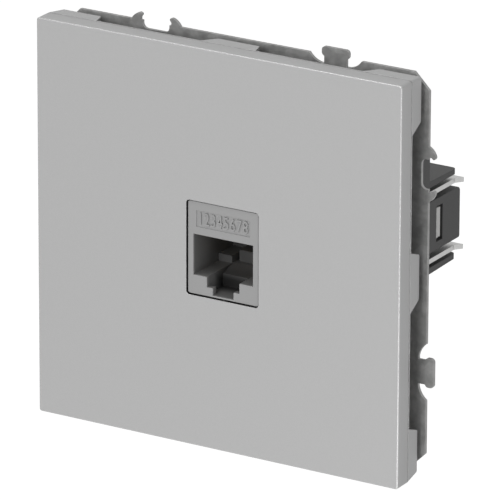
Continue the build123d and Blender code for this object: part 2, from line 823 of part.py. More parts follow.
def make_claw_screw():
    """The right hand claw screw, with a slotted pan head in front of the frame."""
    seat = frame_front - seat_gap
    with BuildPart() as screw:
        with BuildSketch(facing(seat - head_height)):
            with Locations((screw_x, 0)):
                Circle(head_radius)
        extrude(amount=head_height, dir=INTO)
        fillet(screw.faces().sort_by(Axis.Y)[0].edges(), head_height / 3)
        with BuildSketch(facing(seat - head_height)):
            with Locations((screw_x, 0)):
                Rectangle(2 * head_radius, head_slot)
        extrude(amount=head_height / 2, dir=INTO, mode=Mode.SUBTRACT)
        with BuildSketch(facing(seat)):
            with Locations((screw_x, 0)):
                Circle(screw_radius)
        extrude(amount=screw_length, dir=INTO)
        chamfer(screw.faces().sort_by(Axis.Y)[-1].edges(), screw_radius / 4)
    return screw.part


def make_nut():
    """The right hand square nut, behind the claw's web."""
    with BuildPart() as nut:
        with BuildSketch(facing(claw_web + claw_sheet + nut_gap)):
            with Locations((screw_x, 0)):
                Rectangle(nut_size, nut_size)
                Circle(screw_radius + thread_gap, mode=Mode.SUBTRACT)
        extrude(amount=nut_thick, dir=INTO)
        chamfer(nut.edges().filter_by(Axis.Y), nut_size / 12)
    return nut.part


def make_guide_plate():
    """The right hand guide plate, pushed into the block's side slot round the screw's end."""
    outer = block_reach - plate_recess
    with BuildPart() as plate:
        with BuildSketch(facing(mouth_middle - plate_thick / 2)):
            with Locations(((plate_inner + outer) / 2, 0)):
                Rectangle(outer - plate_inner, plate_height)
        extrude(amount=plate_thick, dir=INTO)
        fillet(plate.faces().sort_by(Axis.X)[-1].edges(), plate_round)
        with BuildSketch(facing(mouth_middle - plate_thick / 2)):
            with Locations((screw_x, 0)):
                Circle(screw_radius + thread_gap)
        extrude(amount=plate_thick, dir=INTO, mode=Mode.SUBTRACT)
    return plate.part


claw_pieces = {
    "claw": make_claw(),
    "claw_pin": make_pin(),
    "claw_screw": make_claw_screw(),
    "claw_nut": make_nut(),
    "guide_plate": make_guide_plate(),
}
for piece_name, right_piece in claw_pieces.items():
    with BuildPart() as right_side:
        add(right_piece)
    right_side.part.label = piece_name + "_right"
    export_step(right_side.part, "parts/" + piece_name + "_right.step")
    with BuildPart() as left_side:
        add(right_piece)
        mirror(about=Plane.YZ, mode=Mode.REPLACE)
    left_side.part.label = piece_name + "_left"
    export_step(left_side.part, "parts/" + piece_name + "_left.step")


# Frame screws: four short pan heads that hold the frame to the housing
with BuildPart() as frame_screws:
    with BuildSketch(facing(frame_front - fix_head_height)):
        with GridLocations(2 * fix_x, 2 * fix_z, 2, 2):
            Circle(fix_head_radius)
    extrude(amount=fix_head_height, dir=INTO)
    fillet(frame_screws.faces().filter_by(Axis.Y).group_by(Axis.Y)[0].edges(), fix_head_height / 3)
    with BuildSketch(facing(frame_front)):
        with GridLocations(2 * fix_x, 2 * fix_z, 2, 2):
            Circle(fix_radius)
    extrude(amount=fix_length, dir=INTO)
    with BuildSketch(facing(frame_front - fix_head_height)):
        with GridLocations(2 * fix_x, 2 * fix_z, 2, 2):
            Rectangle(2 * fix_head_radius, head_slot)
            Rectangle(head_slot, 2 * fix_head_radius)
    extrude(amount=fix_head_height / 2, dir=INTO, mode=Mode.SUBTRACT)
frame_screws.part.label = "frame_screws"
export_step(frame_screws.part, "parts/frame_screws.step")
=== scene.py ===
import math

import bmesh
import bpy
from mathutils import Matrix, Vector


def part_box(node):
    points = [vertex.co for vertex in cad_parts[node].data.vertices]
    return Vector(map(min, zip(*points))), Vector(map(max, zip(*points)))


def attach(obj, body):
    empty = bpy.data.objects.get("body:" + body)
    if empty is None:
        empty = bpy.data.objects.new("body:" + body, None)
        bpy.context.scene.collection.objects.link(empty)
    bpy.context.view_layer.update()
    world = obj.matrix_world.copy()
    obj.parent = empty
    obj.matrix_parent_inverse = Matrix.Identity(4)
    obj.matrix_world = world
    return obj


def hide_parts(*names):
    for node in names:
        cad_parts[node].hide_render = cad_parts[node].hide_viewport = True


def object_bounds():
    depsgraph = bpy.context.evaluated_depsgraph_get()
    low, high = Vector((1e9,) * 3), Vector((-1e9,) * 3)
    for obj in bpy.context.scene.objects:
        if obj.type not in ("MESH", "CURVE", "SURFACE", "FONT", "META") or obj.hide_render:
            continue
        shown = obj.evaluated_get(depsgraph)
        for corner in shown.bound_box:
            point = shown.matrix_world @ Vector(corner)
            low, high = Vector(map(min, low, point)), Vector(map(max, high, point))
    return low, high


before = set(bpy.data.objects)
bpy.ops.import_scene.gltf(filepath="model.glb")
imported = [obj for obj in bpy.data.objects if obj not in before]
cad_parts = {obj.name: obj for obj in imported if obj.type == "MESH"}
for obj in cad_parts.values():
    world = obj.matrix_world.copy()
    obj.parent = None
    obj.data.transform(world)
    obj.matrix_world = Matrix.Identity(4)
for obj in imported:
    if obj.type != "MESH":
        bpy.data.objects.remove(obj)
cad_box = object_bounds()
bpy.ops.object.select_all(action="DESELECT")

# The photographer's camera: a long lens, to the right of the socket and a little above it. It aims
# at a point close to the middle of the cover's front face.
MM = 0.001
AZIMUTH = math.radians(30.974)
ELEVATION = math.radians(19.701)
ROLL = math.radians(0.183)
CAMERA_DISTANCE = 1183.6 * MM
CAMERA_LENS = 508.07
AIM_RIGHT = 5.685 * MM
AIM_UP = 0.438 * MM

face_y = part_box("cover_plate")[0].y
towards_camera = Vector((
    math.sin(AZIMUTH) * math.cos(ELEVATION),
    -math.cos(AZIMUTH) * math.cos(ELEVATION),
    math.sin(ELEVATION),
))
level_right = Vector((math.cos(AZIMUTH), math.sin(AZIMUTH), 0))
level_up = towards_camera.cross(level_right)
picture_right = math.cos(ROLL) * level_right + math.sin(ROLL) * level_up
picture_up = math.cos(ROLL) * level_up - math.sin(ROLL) * level_right
aim = Vector((0, face_y, 0)) + AIM_RIGHT * picture_right + AIM_UP * picture_up

camera_data = bpy.data.cameras.new("camera")
camera_data.lens = CAMERA_LENS
camera_data.clip_start = 0.1
camera_data.clip_end = 20
camera = bpy.data.objects.new("camera", camera_data)
turned = Matrix((picture_right, picture_up, towards_camera)).transposed().to_4x4()
camera.matrix_world = Matrix.Translation(aim + CAMERA_DISTANCE * towards_camera) @ turned
bpy.context.scene.collection.objects.link(camera)
bpy.context.scene.camera = camera
bpy.context.scene.view_settings.view_transform = "Standard"


# The studio: a white room with an even light, and four soft boxes. The key hangs in front and above
# with a small fill under it, one overhead draws the bright line on the top edge, and a tall one
# stands on the right.
ROOM_LIGHT = 0.34
FLOOR_DROP = 0.62
FLOOR_SIZE = 8.0
FLOOR_WHITE = "#C8C8C8"
FLOOR_GLOW = 0.84
SOFT_BOXES = {
    "key_box": {"place": (0.08, -0.82, 0.38), "size": (0.45, 0.45), "watts": 2.78},
    "fill_box": {"place": (0.05, -0.42, -0.30), "size": (0.25, 0.25), "watts": 0.5},
    "overhead_box": {"place": (-0.30, -0.30, 0.67), "size": (0.2, 0.2), "watts": 0.5},
    "side_box": {"place": (0.68, -0.41, -0.12), "size": (0.10, 0.50), "watts": 0.66},
}


def linear(colour):
    """An sRGB hex colour as linear red, green, blue and alpha."""
    values = [int(colour[place:place + 2], 16) / 255 for place in (1, 3, 5)]
    return [v / 12.92 if v <= 0.04045 else ((v + 0.055) / 1.055) ** 2.4 for v in values] + [1]


def add(tree, kind, settings={}, inputs={}, output=None):
    """Adds a node with its settings and its inputs, set or linked, and gives back one output."""
    node = tree.nodes.new(kind)
    for name, value in settings.items():
        setattr(node, name, value)
    for name, value in inputs.items():
        if isinstance(value, bpy.types.NodeSocket):
            tree.links.new(value, node.inputs[name])
        else:
            node.inputs[name].default_value = value
    return next((s for s in node.outputs if s.enabled and output in (None, s.name)), None)


def start_tree(holder):
    """The emptied node tree of a material or a world."""
    holder.use_nodes = True
    holder.node_tree.nodes.clear()
    return holder.node_tree


def seen_directly(tree):
    """1 where the camera sees a thing by itself, in a mirror or through glass, and 0 for its light."""
    ray = add(tree, "ShaderNodeLightPath").node.outputs
    either = add(tree, "ShaderNodeMath", {"operation": "MAXIMUM"},
                 {0: ray["Is Camera Ray"], 1: ray["Is Glossy Ray"]})
    return add(tree, "ShaderNodeMath", {"operation": "MAXIMUM"}, {0: either, 1: ray["Is Transmission Ray"]})


room = bpy.data.worlds.new("white_room")
bpy.context.scene.world = room
tree = start_tree(room)
strength = add(tree, "ShaderNodeMapRange", {},
               {"Value": seen_directly(tree), "To Min": ROOM_LIGHT, "To Max": 1})
light = add(tree, "ShaderNodeBackground", {}, {"Color": linear("#FFFFFF"), "Strength": strength})
add(tree, "ShaderNodeOutputWorld", {}, {"Surface": light})

for name, box in SOFT_BOXES.items():
    lamp = bpy.data.lights.new(name, "AREA")
    lamp.shape = "RECTANGLE"
    lamp.size, lamp.size_y = box["size"]
    lamp.energy = box["watts"]
    stand = bpy.data.objects.new(name, lamp)
    stand.location = box["place"]
    stand.rotation_euler = Vector(box["place"]).to_track_quat("Z", "Y").to_euler()
    bpy.context.scene.collection.objects.link(stand)

bpy.ops.mesh.primitive_plane_add(size=FLOOR_SIZE, location=(0, 0, cad_box[0].z - FLOOR_DROP))
floor = bpy.context.object
floor.name = "floor"
paper = bpy.data.materials.new("white_paper")
tree = start_tree(paper)
matt = add(tree, "ShaderNodeBsdfDiffuse", {}, {"Color": linear(FLOOR_WHITE)})
glow_strength = add(tree, "ShaderNodeMapRange", {},
                    {"Value": seen_directly(tree), "To Min": 0, "To Max": FLOOR_GLOW})
glow = add(tree, "ShaderNodeEmission", {}, {"Color": linear("#FFFFFF"), "Strength": glow_strength})
both = add(tree, "ShaderNodeAddShader", {}, {0: matt, 1: glow})
add(tree, "ShaderNodeOutputMaterial", {}, {"Surface": both})
floor.data.materials.append(paper)
floor.select_set(False)


# Mechanism housing: one dark grey moulding of glass-filled polyamide behind the steel frame, with
# a block and two shelves on each side. The jack holder is of the same plastic and drops into it.
HOUSING_GREY = "#474747"
HOUSING_CLOUD = 9 * MM
SPARK_PIT = 0.12 * MM
MOULD_EDGE = 0.12 * MM
EDGE_SAMPLES = 6


def start_material(name):
    """A new material with an empty tree, and the place on the piece as Object coordinates."""
    material = bpy.data.materials.new(name)
    tree = start_tree(material)
    return material, tree, add(tree, "ShaderNodeTexCoord", output="Object")


def dress(material, *nodes):
    """Gives each of these CAD nodes the material in all its slots."""
    for name in nodes:
        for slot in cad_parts[name].material_slots:
            slot.material = material


def eroded_polyamide():
    """Glass-filled polyamide from a spark-eroded mould: a dull, finely pitted, faintly cloudy skin."""
    material, tree, place = start_material("eroded_polyamide")
    pits = add(tree, "ShaderNodeTexNoise", {},
               {"Vector": place, "Scale": 1 / SPARK_PIT, "Detail": 3}, "Fac")
    cloud = add(tree, "ShaderNodeTexNoise", {}, {"Vector": place, "Scale": 1 / HOUSING_CLOUD}, "Fac")
    shade = add(tree, "ShaderNodeMapRange", {}, {"Value": cloud, "To Min": 0.92, "To Max": 1.08})
    colour = add(tree, "ShaderNodeVectorMath", {"operation": "SCALE"},
                 {"Vector": linear(HOUSING_GREY)[:3], "Scale": shade})
    rough = add(tree, "ShaderNodeMapRange", {}, {"Value": pits, "To Min": 0.5, "To Max": 0.68})
    edges = add(tree, "ShaderNodeBevel", {"samples": EDGE_SAMPLES}, {"Radius": MOULD_EDGE})
    skin = add(tree, "ShaderNodeBump", {},
               {"Strength": 0.4, "Distance": 0.02 * MM, "Height": pits, "Normal": edges})
    surface = add(tree, "ShaderNodeBsdfPrincipled", {},
                  {"Base Color": colour, "Roughness": rough, "IOR": 1.45, "Normal": skin})
    add(tree, "ShaderNodeOutputMaterial", {}, {"Surface": surface})
    return material


dress(eroded_polyamide(), "mechanism_housing", "jack_holder")


# Spreader claws, their nuts and the guide plates: blanked and pressed steel, zinc plated. The claws and
# nuts are bright, the guide plates are a darker grey, and every cut edge is a little rounded.
ZINC_GREY = "#B6B6B5"
GUIDE_GREY = "#9C9C9B"
ZINC_CLOUD = 1.6 * MM
BLANKED_EDGE = 0.08 * MM
DRAW_LINE = 0.05 * MM


def zinc_plate(name, grey):
    """Zinc plate over rolled steel: softly mirrored, a little cloudy, with faint lines from the rolls."""
    material, tree, place = start_material(name)
    cloud = add(tree, "ShaderNodeTexNoise", {},
                {"Vector": place, "Scale": 1 / ZINC_CLOUD, "Detail": 4}, "Fac")
    stretched = add(tree, "ShaderNodeMapping", {}, {"Vector": place, "Scale": (1, 0.06, 1)})
    lines = add(tree, "ShaderNodeTexNoise", {}, {"Vector": stretched, "Scale": 1 / DRAW_LINE}, "Fac")
    shade = add(tree, "ShaderNodeMapRange", {}, {"Value": cloud, "To Min": 0.86, "To Max": 1.08})
    colour = add(tree, "ShaderNodeVectorMath", {"operation": "SCALE"},
                 {"Vector": linear(grey)[:3], "Scale": shade})
    rough = add(tree, "ShaderNodeMapRange", {}, {"Value": cloud, "To Min": 0.24, "To Max": 0.42})
    edges = add(tree, "ShaderNodeBevel", {"samples": EDGE_SAMPLES}, {"Radius": BLANKED_EDGE})
    skin = add(tree, "ShaderNodeBump", {},
               {"Strength": 0.25, "Distance": 0.01 * MM, "Height": lines, "Normal": edges})
    surface = add(tree, "ShaderNodeBsdfPrincipled", {},
                  {"Base Color": colour, "Metallic": 1, "Roughness": rough, "Normal": skin})
    add(tree, "ShaderNodeOutputMaterial", {}, {"Surface": surface})
    return material


zinc = zinc_plate("bright_zinc_plate", ZINC_GREY)
dress(zinc, "claw_right", "claw_left", "claw_nut_right", "claw_nut_left")
dress(zinc_plate("grey_zinc_plate", GUIDE_GREY), "guide_plate_right", "guide_plate_left")


# Claw screws: rolled M3.5 machine screws with a slotted pan head, zinc plated like the claws. Each
# turns in front of the steel frame and pulls its nut, and with it the claw, towards the wall.
SCREW_HEAD_HEIGHT = 2.2 * MM
HEAD_SIDES = 64
HEAD_ROUND = 0.75 * MM
HEAD_FULLNESS = 0.6
SLOT_WIDTH = 0.8 * MM
SLOT_DEPTH = 1.1 * MM
SLOT_REACH = 3
THREAD_RADIUS = 1.75 * MM
THREAD_PITCH = 0.6 * MM
THREAD_DEPTH = 0.37 * MM
THREAD_STEPS = 24
SPARE_TURNS = 2
CREST_SHARE = 0.15
THREAD_START = 0.3 * MM
BAR_RADIUS = 1.02 * THREAD_RADIUS
BAR_SIDES = 48
POINT_LENGTH = 0.5 * MM
SCREW_CREASE = math.radians(35)
TOUCH = 0.01 * MM
WELD = 0.001 * MM


def set_in_mesh(piece):
    """Puts a piece's place, turn and scale into its mesh, so that the object sits at the origin."""
    bpy.ops.object.transform_apply(location=True, rotation=True, scale=True)
    return piece


def pick(piece, kind, test):
    """In edit mode, selects only the vertices, edges or faces whose middle passes the test."""
    bpy.ops.mesh.select_mode(type=kind)
    bpy.ops.mesh.select_all(action="DESELECT")
    shape = bmesh.from_edit_mesh(piece.data)
    for part in {"VERT": shape.verts, "EDGE": shape.edges, "FACE": shape.faces}[kind]:
        corners = [part] if kind == "VERT" else part.verts
        if test(sum((corner.co for corner in corners), Vector()) / len(corners)):
            part.select_set(True)
    shape.select_flush_mode()
    bmesh.update_edit_mesh(piece.data)


def use_modifier(piece, kind, settings):
    """Adds a modifier with its settings and applies it."""
    bpy.context.view_layer.objects.active = piece
    modifier = piece.modifiers.new(kind.lower(), kind)
    for name, value in settings.items():
        setattr(modifier, name, value)
    bpy.ops.object.modifier_apply(modifier=modifier.name)


head_low, screw_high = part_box("claw_screw_right")
screw_x = (head_low.x + screw_high.x) / 2
head_radius = (screw_high.z - head_low.z) / 2
seat = head_low.y + SCREW_HEAD_HEIGHT

bpy.ops.mesh.primitive_cylinder_add(vertices=HEAD_SIDES, radius=head_radius, depth=SCREW_HEAD_HEIGHT,
                                    location=(screw_x, seat - SCREW_HEAD_HEIGHT / 2, 0),
                                    rotation=(math.pi / 2, 0, 0))
screw_head = set_in_mesh(bpy.context.object)
bpy.ops.object.mode_set(mode="EDIT")
pick(screw_head, "EDGE", lambda middle: middle.y < head_low.y + TOUCH)
bpy.ops.mesh.bevel(offset=HEAD_ROUND, segments=8, profile=HEAD_FULLNESS)
bpy.ops.object.mode_set(mode="OBJECT")
screw_head.select_set(False)
bpy.ops.mesh.primitive_cube_add(size=1, location=(screw_x, head_low.y, 0),
                                scale=(SLOT_REACH * head_radius, 2 * SLOT_DEPTH, SLOT_WIDTH))
slot_cutter = set_in_mesh(bpy.context.object)
use_modifier(screw_head, "BOOLEAN",
             {"operation": "DIFFERENCE", "object": slot_cutter, "solver": "EXACT"})
bpy.data.objects.remove(slot_cutter)

# The thread starts as one tooth beside the axis, is swept round it with turns to spare at both ends,
# and is cut to length by a bar with a chamfered end
bpy.ops.mesh.primitive_plane_add(size=THREAD_PITCH,
                                 location=(screw_x, seat - SPARE_TURNS * THREAD_PITCH, 0))
thread = bpy.context.object
bpy.ops.object.mode_set(mode="EDIT")
bpy.ops.transform.resize(value=(THREAD_DEPTH / THREAD_PITCH, 1, 1))
pick(thread, "EDGE", lambda middle: middle.x > TOUCH)
bpy.ops.transform.resize(value=(1, CREST_SHARE, 1))
pick(thread, "EDGE", lambda middle: middle.x < -TOUCH)
bpy.ops.mesh.delete(type="EDGE_FACE")
bpy.ops.mesh.select_all(action="SELECT")
bpy.ops.transform.translate(value=(THREAD_RADIUS - THREAD_DEPTH / 2, 0, 0))
bpy.ops.object.mode_set(mode="OBJECT")
turns = round((screw_high.y - seat) / THREAD_PITCH) + 2 * SPARE_TURNS
use_modifier(thread, "SCREW", {"axis": "Y", "screw_offset": THREAD_PITCH, "iterations": turns,
                               "steps": THREAD_STEPS, "render_steps": THREAD_STEPS})
set_in_mesh(thread)
bpy.ops.object.mode_set(mode="EDIT")
bpy.ops.mesh.select_all(action="SELECT")
bpy.ops.mesh.remove_doubles(threshold=WELD)
bpy.ops.mesh.fill_holes(sides=0)
bpy.ops.mesh.select_all(action="SELECT")
bpy.ops.mesh.normals_make_consistent(inside=False)
bpy.ops.object.mode_set(mode="OBJECT")
thread.select_set(False)

bar_start = seat - THREAD_START
bpy.ops.mesh.primitive_cylinder_add(vertices=BAR_SIDES, radius=BAR_RADIUS,
                                    depth=screw_high.y - bar_start,
                                    location=(screw_x, (screw_high.y + bar_start) / 2, 0),
                                    rotation=(math.pi / 2, 0, 0))
bar = set_in_mesh(bpy.context.object)
bpy.ops.object.mode_set(mode="EDIT")
pick(bar, "EDGE", lambda middle: middle.y > screw_high.y - TOUCH)
bpy.ops.mesh.bevel(offset=POINT_LENGTH, segments=1)
bpy.ops.object.mode_set(mode="OBJECT")
use_modifier(thread, "BOOLEAN", {"operation": "INTERSECT", "object": bar, "solver": "EXACT"})
bpy.data.objects.remove(bar)

thread.select_set(True)
screw_head.select_set(True)
bpy.context.view_layer.objects.active = screw_head
bpy.ops.object.join()
bpy.ops.object.shade_smooth_by_angle(angle=SCREW_CREASE)
right_screw = bpy.context.object
right_screw.name = "slotted_screw_right"
bpy.ops.object.duplicate()
left_screw = bpy.context.object
left_screw.name = "slotted_screw_left"
left_screw.location.x = -2 * screw_x
set_in_mesh(left_screw)
left_screw.select_set(False)

for piece, side in ((right_screw, "right"), (left_screw, "left")):
    piece.data.materials.append(zinc)
    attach(piece, "claw_screw_" + side)
    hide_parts("claw_screw_" + side)


# Claw pins: two lengths of plain drawn steel wire, one on each side. Each is pushed through the holes
# of two shelves, and its claw swings on it.
PIN_STEEL = "#B4B4B2"


def drawn_steel():
    """Cold-drawn steel wire: darker than the zinc, with fine lines along it."""
    material, tree, place = start_material("drawn_steel")
    stretched = add(tree, "ShaderNodeMapping", {}, {"Vector": place, "Scale": (1, 1, 0.04)})
    lines = add(tree, "ShaderNodeTexNoise", {}, {"Vector": stretched, "Scale": 1 / DRAW_LINE}, "Fac")
    rough = add(tree, "ShaderNodeMapRange", {}, {"Value": lines, "To Min": 0.28, "To Max": 0.42})
    skin = add(tree, "ShaderNodeBump", {}, {"Strength": 0.3, "Distance": 0.01 * MM, "Height": lines})
    surface = add(tree, "ShaderNodeBsdfPrincipled", {},
                  {"Base Color": linear(PIN_STEEL), "Metallic": 1, "Roughness": rough, "Normal": skin})
    add(tree, "ShaderNodeOutputMaterial", {}, {"Surface": surface})
    return material


dress(drawn_steel(), "claw_pin_right", "claw_pin_left")


# Steel frame: one stamping of 0.6 mm hot-dip galvanised sheet, with gang hooks and lugs blanked on
# every side. Four short zinc plated screws hold it to the housing.
SHEET_GREY = "#AEAEAD"
SPANGLE = 1.3 * MM
SHEET_GRAIN = 0.15 * MM


def galvanised_sheet():
    """Skin-passed galvanised steel: matt grey, with small blotches of spangle and a fine grain."""
    material, tree, place = start_material("galvanised_sheet")
    spangle = add(tree, "ShaderNodeTexVoronoi", {"feature": "F1"},
                  {"Vector": place, "Scale": 1 / SPANGLE, "Randomness": 1}, "Color")
    blotch = add(tree, "ShaderNodeTexNoise", {},
                 {"Vector": place, "Scale": 1 / SPANGLE, "Detail": 5}, "Fac")
    grain = add(tree, "ShaderNodeTexNoise", {},
                {"Vector": place, "Scale": 1 / SHEET_GRAIN, "Detail": 2}, "Fac")
    crystal = add(tree, "ShaderNodeSeparateColor", {}, {"Color": spangle}, "Red")
    patch = add(tree, "ShaderNodeMath", {"operation": "MULTIPLY_ADD"}, {0: crystal, 1: 0.25, 2: blotch})
    shade = add(tree, "ShaderNodeMapRange", {}, {"Value": patch, "From Min": 0.3, "From Max": 0.95,
                                                  "To Min": 0.72, "To Max": 1.18})
    colour = add(tree, "ShaderNodeVectorMath", {"operation": "SCALE"},
                 {"Vector": linear(SHEET_GREY)[:3], "Scale": shade})
    rough = add(tree, "ShaderNodeMapRange", {}, {"Value": patch, "To Min": 0.5, "To Max": 0.66})
    edges = add(tree, "ShaderNodeBevel", {"samples": EDGE_SAMPLES}, {"Radius": BLANKED_EDGE})
    skin = add(tree, "ShaderNodeBump", {},
               {"Strength": 0.4, "Distance": 0.02 * MM, "Height": grain, "Normal": edges})
    surface = add(tree, "ShaderNodeBsdfPrincipled", {},
                  {"Base Color": colour, "Metallic": 0.4, "Roughness": rough, "Normal": skin})
    add(tree, "ShaderNodeOutputMaterial", {}, {"Surface": surface})
    return material


dress(galvanised_sheet(), "steel_frame")
dress(zinc, "frame_screws")


# Jack: a grey moulding with the plug opening in its face. The contact carrier behind it, the
# terminal block and the cap that presses the cable's wires in are mouldings too, each of its own
# plastic.
JACK_GREY = "#A6A6A6"
CARRIER_GREY = "#3C3C3C"
TERMINAL_GREY = "#C9C9C4"
CAP_GREY = "#B8B8B6"
MOULD_GRAIN = 0.09 * MM
CRISP_EDGE = 0.04 * MM
# Painted shade down the plug opening: how dark it is at the mouth, deep inside, and in the channel for the
# catch
MOUTH_SHADE = 0.58
MOUTH_START = 0.2 * MM
MOUTH_END = 0.5 * MM
DEEP_SHADE = 0.25
SHADE_DEPTH = 6.0 * MM
CATCH_SHADE = 0.12
CATCH_START = 2.4 * MM
CATCH_END = 5.0 * MM
CATCH_LEVEL = -6.6 * MM
FLOOR_LEVEL = -4.9 * MM

jack_low, jack_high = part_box("jack_body")
jack_face = jack_low.y


def painted_opening_shade(tree, place):
    """Painted shade: 1 on the jack's face, and less down its opening, least of all in the channel for the
    catch.
    """
    # The jack is one plastic all over: the dark opening is painted shade, a match to the photo, not a
    # second colour
    spot = add(tree, "ShaderNodeSeparateXYZ", {}, {"Vector": place}).node.outputs
    inside = add(tree, "ShaderNodeMapRange", {},
                 {"Value": spot["Y"], "From Min": jack_face + MOUTH_START,
                  "From Max": jack_face + MOUTH_END})
    deep = add(tree, "ShaderNodeMapRange", {},
               {"Value": spot["Y"], "From Min": jack_face, "To Min": MOUTH_SHADE,
                "From Max": jack_face + SHADE_DEPTH, "To Max": DEEP_SHADE})
    low = add(tree, "ShaderNodeMapRange", {},
              {"Value": spot["Z"], "From Min": CATCH_LEVEL, "To Min": CATCH_SHADE,
               "From Max": FLOOR_LEVEL, "To Max": 1})
    fore = add(tree, "ShaderNodeMapRange", {},
               {"Value": spot["Y"], "From Min": jack_face + CATCH_START, "To Min": 1,
                "From Max": jack_face + CATCH_END, "To Max": 0})
    lit = add(tree, "ShaderNodeMath", {"operation": "MAXIMUM"}, {0: low, 1: fore})
    both = add(tree, "ShaderNodeMath", {"operation": "MULTIPLY"}, {0: deep, 1: lit})
    lost = add(tree, "ShaderNodeMath", {"operation": "SUBTRACT"}, {0: 1, 1: both})
    shade = add(tree, "ShaderNodeMath", {"operation": "MULTIPLY"}, {0: inside, 1: lost})
    return add(tree, "ShaderNodeMath", {"operation": "SUBTRACT"}, {0: 1, 1: shade})


def moulded_plastic(name, grey, roughness, opening=False):
    """A satin moulding: an even colour and a very fine grain, with painted shade down an opening if it has
    one.
    """
    material, tree, place = start_material(name)
    grain = add(tree, "ShaderNodeTexNoise", {},
                {"Vector": place, "Scale": 1 / MOULD_GRAIN, "Detail": 2}, "Fac")
    flow = add(tree, "ShaderNodeTexNoise", {}, {"Vector": place, "Scale": 1 / HOUSING_CLOUD}, "Fac")
    shade = add(tree, "ShaderNodeMapRange", {}, {"Value": flow, "To Min": 0.97, "To Max": 1.03})
    if opening:
        shade = add(tree, "ShaderNodeMath", {"operation": "MULTIPLY"},
                    {0: shade, 1: painted_opening_shade(tree, place)})
    colour = add(tree, "ShaderNodeVectorMath", {"operation": "SCALE"},
                 {"Vector": linear(grey)[:3], "Scale": shade})
    rough = add(tree, "ShaderNodeMapRange", {},
                {"Value": grain, "To Min": roughness - 0.06, "To Max": roughness + 0.06})
    edges = add(tree, "ShaderNodeBevel", {"samples": EDGE_SAMPLES}, {"Radius": CRISP_EDGE})
    skin = add(tree, "ShaderNodeBump", {},
               {"Strength": 0.2, "Distance": 0.01 * MM, "Height": grain, "Normal": edges})
    surface = add(tree, "ShaderNodeBsdfPrincipled", {},
                  {"Base Color": colour, "Roughness": rough, "IOR": 1.54, "Normal": skin})
    add(tree, "ShaderNodeOutputMaterial", {}, {"Surface": surface})
    return material


jack_plastic = moulded_plastic("moulded_grey_abs", JACK_GREY, 0.45, opening=True)
dress(jack_plastic, "jack_body")
dress(moulded_plastic("moulded_polyester", CARRIER_GREY, 0.5), "contact_carrier")
dress(moulded_plastic("moulded_polycarbonate", TERMINAL_GREY, 0.35), "terminal_block")
dress(moulded_plastic("moulded_pale_abs", CAP_GREY, 0.4), "terminal_cap")


# Circuit board: joins the contact wires to the terminal blades. It is glass-epoxy laminate, routed
# to shape and lacquered green. A wave texture of scale 1 repeats every 0.31 m.
BOARD_GREEN = "#1E5A34"
WEAVE = 0.5 * MM
WEAVE_SCALE = 0.31 / WEAVE


def lacquered_laminate():
    """Glass-epoxy laminate under green lacquer: glossy, with the glass weave faintly showing."""
    material, tree, place = start_material("lacquered_laminate")
    warp = add(tree, "ShaderNodeTexWave", {"bands_direction": "X"},
               {"Vector": place, "Scale": WEAVE_SCALE}, "Fac")
    weft = add(tree, "ShaderNodeTexWave", {"bands_direction": "Z"},
               {"Vector": place, "Scale": WEAVE_SCALE}, "Fac")
    cloth = add(tree, "ShaderNodeMath", {"operation": "MULTIPLY"}, {0: warp, 1: weft})
    shade = add(tree, "ShaderNodeMapRange", {}, {"Value": cloth, "To Min": 0.9, "To Max": 1.12})
    colour = add(tree, "ShaderNodeVectorMath", {"operation": "SCALE"},
                 {"Vector": linear(BOARD_GREEN)[:3], "Scale": shade})
    skin = add(tree, "ShaderNodeBump", {}, {"Strength": 0.2, "Distance": 0.01 * MM, "Height": cloth})
    surface = add(tree, "ShaderNodeBsdfPrincipled", {},
                  {"Base Color": colour, "Roughness": 0.22, "IOR": 1.55, "Normal": skin})
    add(tree, "ShaderNodeOutputMaterial", {}, {"Surface": surface})
    return material


dress(lacquered_laminate(), "jack_board")


# Terminal blades: eight forks stamped from spring bronze and tinned, one in each slot of the terminal
# block. Pressed down between a fork's legs, a wire is stripped and held.
TIN_WHITE = "#CFC8BC"
PLATING_CLOUD = 0.3 * MM


def plated_metal(name, colour_hex, roughness):
    """A thin plating on spring bronze: smooth, with a faint change of gloss from place to place."""
    material, tree, place = start_material(name)
    cloud = add(tree, "ShaderNodeTexNoise", {},
                {"Vector": place, "Scale": 1 / PLATING_CLOUD, "Detail": 2}, "Fac")
    rough = add(tree, "ShaderNodeMapRange", {},
                {"Value": cloud, "To Min": roughness - 0.07, "To Max": roughness + 0.07})
    surface = add(tree, "ShaderNodeBsdfPrincipled", {},
                  {"Base Color": linear(colour_hex), "Metallic": 1, "Roughness": rough})
    add(tree, "ShaderNodeOutputMaterial", {}, {"Surface": surface})
    return material


dress(plated_metal("tinned_bronze", TIN_WHITE, 0.32), "terminal_blades")


# Contact wires: eight round spring wires, gold plated. Each comes forward from the board under the
# opening's roof, turns back on itself and slopes down to its place in the comb.
GOLD = "#E3BC74"
WIRE_COUNT = 8
WIRE_RADIUS = 0.2 * MM
WIRE_SIDES = 14
WIRE_PITCH = 1.02 * MM
TURN_RADIUS = 0.45 * MM
TURN_STEPS = 10
WIRE_SLOPE = math.radians(20)
SPRING_LENGTH = 9.0 * MM
TIP_TAPER = 0.55
WIRE_CREASE = math.radians(40)

